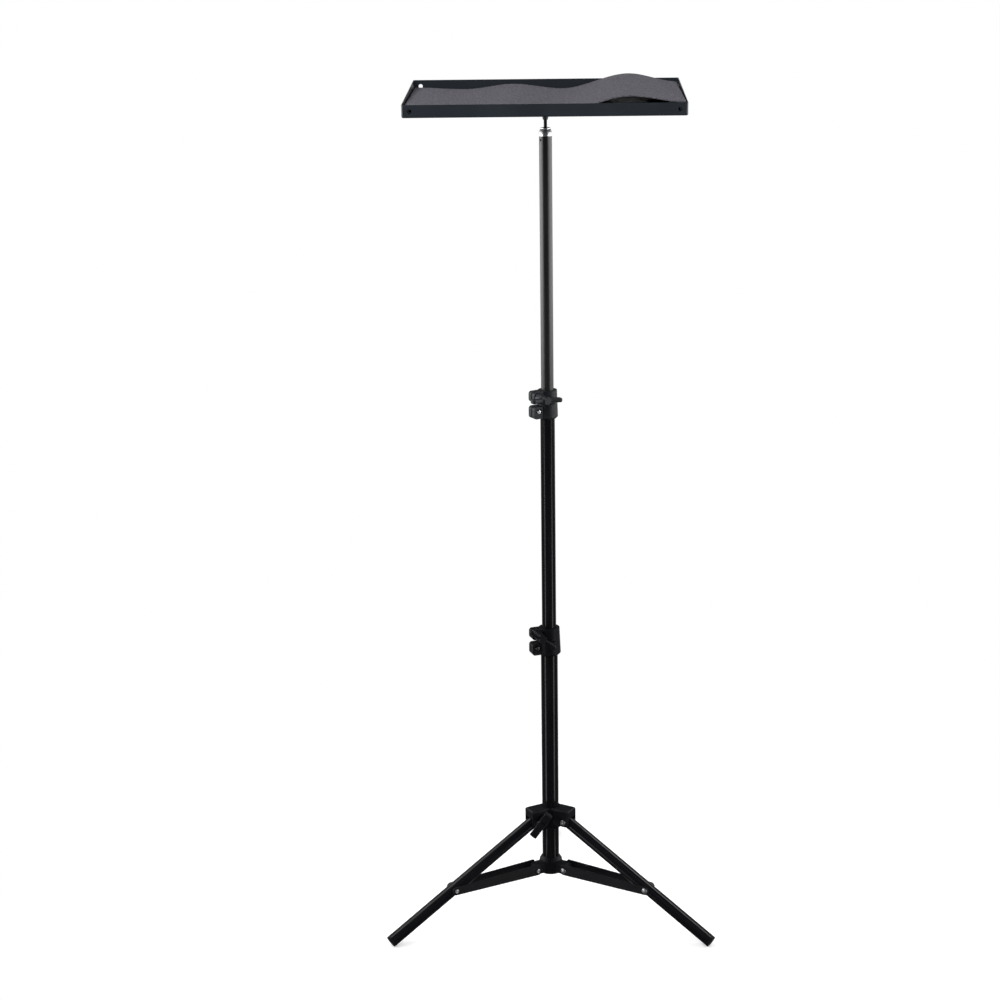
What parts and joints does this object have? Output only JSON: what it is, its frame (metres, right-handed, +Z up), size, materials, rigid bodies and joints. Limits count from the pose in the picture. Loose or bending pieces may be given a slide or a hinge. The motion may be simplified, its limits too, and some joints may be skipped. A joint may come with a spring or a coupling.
{
  "type": "portable projector stand",
  "caption": "Folding tripod stand with a telescoping column, tube clamps with wing knobs, and a shallow rimmed tray lined with a loose foam mat for a projector.",
  "frame": {"origin": "on the floor, on the axis of the column", "axes": "+Z up along the column, the tray's front wall towards -Y, the tray's width along X"},
  "size_m": [0.4818, 0.4197, 1.241],
  "materials": {
    "tray_paint": "satin dark paint",
    "tube_paint": "satin black paint",
    "nylon": "moulded black nylon",
    "steel": "bright zinc plate",
    "dark_steel": "blackened steel",
    "chrome": "bright chrome plate",
    "foam": "grey closed-cell foam",
    "brace_paint": "satin black paint"
  },
  "bodies": {
    "column_base": {"lower_tube": "tube_paint", "brace_hub": "nylon", "hub_pins": "steel", "lower_clamp": "nylon", "lower_clamp_bolt": "dark_steel", "lower_clamp_nuts": "steel"},
    "sliding_collar": {"leg_collar": "nylon", "collar_pins": "steel"},
    "middle_column": {"mid_tube": "tube_paint", "upper_clamp": "nylon", "upper_clamp_bolt": "steel", "upper_clamp_nuts": "steel"},
    "top_column": {"top_tube": "tube_paint", "spigot_cap": "chrome", "tray_stud": "dark_steel"},
    "tray": {"tray_pan": "tray_paint", "tray_socket": "tray_paint", "foam_mat": "foam"},
    "collar_wing": {"collar_knob": "nylon", "collar_knob_screw": "steel"},
    "lower_wing": {"lower_knob": "nylon", "lower_knob_screw": "steel"},
    "upper_wing": {"upper_knob": "nylon", "upper_knob_screw": "steel"},
    "left_leg": {"leg_left": "tube_paint", "foot_left": "nylon"},
    "left_brace": {"brace_left": "brace_paint", "brace_rivets_left": "steel"},
    "right_leg": {"leg_right": "tube_paint", "foot_right": "nylon"},
    "right_brace": {"brace_right": "brace_paint", "brace_rivets_right": "steel"},
    "rear_leg": {"leg_rear": "tube_paint", "foot_rear": "nylon"},
    "rear_brace": {"brace_rear": "brace_paint", "brace_rivets_rear": "steel"}
  },
  "joints": [
    {"name": "collar_slide", "type": "slide", "parent": "column_base", "child": "sliding_collar", "axis": [0, 0, 1], "range_m": [0, 0.21803]},
    {"name": "middle_slide", "type": "slide", "parent": "column_base", "child": "middle_column", "axis": [0, 0, -1], "range_m": [0, 0.3092]},
    {"name": "top_slide", "type": "slide", "parent": "middle_column", "child": "top_column", "axis": [0, 0, -1], "range_m": [0, 0.354]},
    {"name": "tray_turn", "type": "hinge", "parent": "top_column", "child": "tray", "pos_m": [0, 0, 1.21501], "axis": [0, 0, 1], "continuous": true},
    {"name": "left_leg_fold", "type": "hinge", "parent": "sliding_collar", "child": "left_leg", "pos_m": [-0.02425, -0.014, 0.14699], "axis": [0.5, -0.866, 0], "range_deg": [0, 60.22]},
    {"name": "left_brace_fold", "type": "hinge", "parent": "column_base", "child": "left_brace", "pos_m": [-0.02425, -0.014, 0.06801], "axis": [-0.5, 0.866, 0], "range_deg": [0, 90]},
    {"name": "right_leg_fold", "type": "hinge", "parent": "sliding_collar", "child": "right_leg", "pos_m": [0.02425, -0.014, 0.14699], "axis": [0.5, 0.866, 0], "range_deg": [0, 60.22]},
    {"name": "right_brace_fold", "type": "hinge", "parent": "column_base", "child": "right_brace", "pos_m": [0.02425, -0.014, 0.06801], "axis": [-0.5, -0.866, 0], "range_deg": [0, 90]},
    {"name": "rear_leg_fold", "type": "hinge", "parent": "sliding_collar", "child": "rear_leg", "pos_m": [0, 0.028, 0.14699], "axis": [-1, 0, 0], "range_deg": [0, 60.22]},
    {"name": "rear_brace_fold", "type": "hinge", "parent": "column_base", "child": "rear_brace", "pos_m": [0, 0.028, 0.06801], "axis": [1, 0, 0], "range_deg": [0, 90]},
    {"name": "collar_wing_turn", "type": "hinge", "parent": "sliding_collar", "child": "collar_wing", "pos_m": [-0.00801, -0.02704, 0.15339], "axis": [-0.284, -0.9588, 0], "continuous": true},
    {"name": "lower_wing_turn", "type": "hinge", "parent": "column_base", "child": "lower_wing", "pos_m": [-0.01688, -0.01505, 0.44236], "axis": [0.3584, -0.9336, 0], "continuous": true},
    {"name": "upper_wing_turn", "type": "hinge", "parent": "middle_column", "child": "upper_wing", "pos_m": [-0.012, -0.01693, 0.80136], "axis": [0.5299, -0.848, 0], "continuous": true}
  ],
  "couplings": [
    {"joint": "left_leg_fold", "follows": "collar_slide", "rad_per_m": 4.8204},
    {"joint": "left_brace_fold", "follows": "collar_slide", "rad_per_m": 7.2045},
    {"joint": "right_leg_fold", "follows": "collar_slide", "rad_per_m": 4.8204},
    {"joint": "right_brace_fold", "follows": "collar_slide", "rad_per_m": 7.2045},
    {"joint": "rear_leg_fold", "follows": "collar_slide", "rad_per_m": 4.8204},
    {"joint": "rear_brace_fold", "follows": "collar_slide", "rad_per_m": 7.2045}
  ]
}
